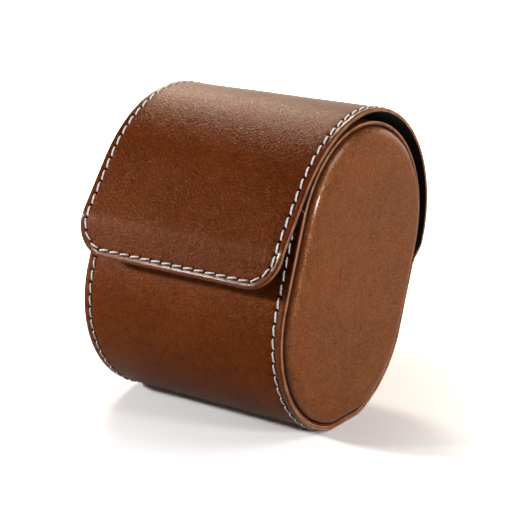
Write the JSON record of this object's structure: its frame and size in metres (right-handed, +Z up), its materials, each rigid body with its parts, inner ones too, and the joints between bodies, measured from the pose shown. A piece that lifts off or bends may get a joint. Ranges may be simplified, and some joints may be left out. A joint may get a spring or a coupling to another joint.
{
  "type": "watch travel case",
  "caption": "Oval leather case for one watch, with padded oval ends, a hinged flap lid on a magnetic snap and a lift-out velvet pillow",
  "frame": {"origin": "middle of the small flat on the underside that the case rests on", "axes": "+Z up, +X along the tube to the end that is on the right seen from the front, -Y to the front, where the flap closes"},
  "size_m": [0.0848, 0.0927, 0.1042],
  "materials": {
    "outer_leather": "fine grained dark brown leather, waxed semi-gloss",
    "panel_leather": "softer lighter brown leather over foam, semi-gloss",
    "rim_leather": "brown leather with a cut tan edge",
    "board": "plain pressed board, matt",
    "foam": "open foam, matt",
    "velvet": "short black velvet",
    "pillow_velvet": "short charcoal velvet",
    "thread": "white waxed thread",
    "snap_metal": "plated steel, satin",
    "magnet": "pressed ferrite, dull"
  },
  "bodies": {
    "case": {"body_leather": "outer_leather", "body_board": "board", "body_lining": "velvet", "left_end_rim": "rim_leather", "left_end_board": "board", "left_end_foam": "foam", "left_end_leather": "panel_leather", "left_end_lining": "velvet", "right_end_rim": "rim_leather", "right_end_board": "board", "right_end_foam": "foam", "right_end_leather": "panel_leather", "right_end_lining": "velvet", "hinge_leather": "outer_leather", "hinge_lining": "velvet", "snap_cup": "snap_metal", "snap_cup_stem": "snap_metal", "snap_magnet": "magnet", "snap_cup_washer": "snap_metal", "left_body_stitches": "thread", "right_body_stitches": "thread"},
    "lid": {"lid_leather": "outer_leather", "lid_board": "board", "lid_lining": "velvet", "lid_stitches": "thread", "snap_disc": "snap_metal", "snap_disc_washer": "snap_metal"},
    "pillow": {"pillow_core": "foam", "pillow_cover": "pillow_velvet", "left_pillow_end": "pillow_velvet", "right_pillow_end": "pillow_velvet"}
  },
  "joints": [
    {"name": "lid_hinge", "type": "hinge", "parent": "case", "child": "lid", "pos_m": [0, 0.04291, 0.04632], "axis": [-1, 0, 0], "range_deg": [0, 110], "deforming": ["hinge_leather", "hinge_lining"]},
    {"name": "pillow_lift", "type": "slide", "parent": "case", "child": "pillow", "axis": [0, 0.342, 0.9397], "range_m": [0, 0.055]}
  ],
  "couplings": [
    {"joint": "pillow_lift", "follows": "lid_hinge", "m_per_rad": 0.0286}
  ]
}
